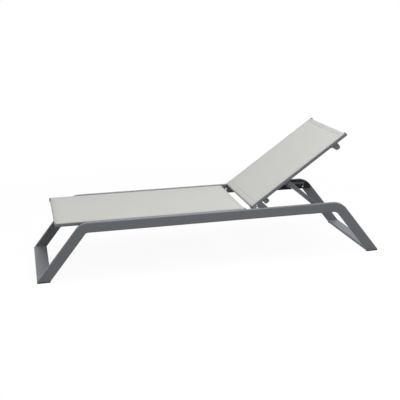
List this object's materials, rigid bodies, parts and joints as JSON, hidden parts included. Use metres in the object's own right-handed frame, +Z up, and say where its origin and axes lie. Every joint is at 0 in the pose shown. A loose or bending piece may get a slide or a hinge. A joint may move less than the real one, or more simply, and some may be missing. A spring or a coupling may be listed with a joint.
{
  "type": "chaise lounge",
  "caption": "Low sun lounger with bent flat-tube side frames, a stretched fabric seat and a reclining fabric backrest held by a folding stay on notched racks.",
  "frame": {"origin": "on the floor under the middle of the base", "axes": "+X along the lounger towards the head end, +Y across it towards its right side, +Z up"},
  "size_m": [1.9874, 0.57, 0.7186],
  "materials": {
    "frame_paint": "satin powder coat",
    "fabric": "coated yarn mesh",
    "black_plastic": "matt",
    "grey_plastic": "matt",
    "bush_plastic": "matt",
    "steel": "zinc plated"
  },
  "bodies": {
    "base": {"side_frame_left": "frame_paint", "side_frame_right": "frame_paint", "front_ground_bar": "frame_paint", "rear_ground_bar": "frame_paint", "foot_glides": "black_plastic", "tie_bar": "frame_paint", "seat_rail_left": "frame_paint", "seat_rail_right": "frame_paint", "seat_front_tube": "frame_paint", "seat_rear_tube": "frame_paint", "seat_end_caps": "black_plastic", "seat_sling": "fabric", "seat_bolts": "steel", "seat_spacers": "steel", "seat_inserts": "steel", "rack_left": "black_plastic", "rack_right": "black_plastic", "rack_screws": "steel", "hinge_bolts": "steel", "hinge_washers": "steel", "hinge_inserts": "steel"},
    "backrest": {"back_rail_left": "frame_paint", "back_rail_right": "frame_paint", "back_front_tube": "frame_paint", "back_rear_tube": "frame_paint", "back_end_caps": "black_plastic", "back_sling": "fabric", "hinge_bracket_left": "frame_paint", "hinge_bracket_right": "frame_paint", "bracket_screws": "steel", "hinge_bushes": "bush_plastic", "lower_spreader": "frame_paint", "upper_spreader": "frame_paint", "spreader_caps": "grey_plastic", "spreader_screws": "steel", "stay_lug_left": "frame_paint", "stay_lug_right": "frame_paint", "lug_screws": "steel", "stay_pins": "steel", "stay_washers": "steel"},
    "stay": {"stay_arm_left": "frame_paint", "stay_arm_right": "frame_paint", "stay_bushes": "bush_plastic", "stay_rod": "steel"}
  },
  "joints": [
    {"name": "backrest_recline", "type": "hinge", "parent": "base", "child": "backrest", "pos_m": [0.205, 0, 0.292], "axis": [0, -1, 0], "range_deg": [-35.2, 7.3]},
    {"name": "stay_fold", "type": "hinge", "parent": "backrest", "child": "stay", "pos_m": [0.42308, 0, 0.4582], "axis": [0, -1, 0], "range_deg": [-15.4, 74]}
  ],
  "couplings": [
    {"joint": "stay_fold", "follows": "backrest_recline", "ratio": -2.1}
  ]
}
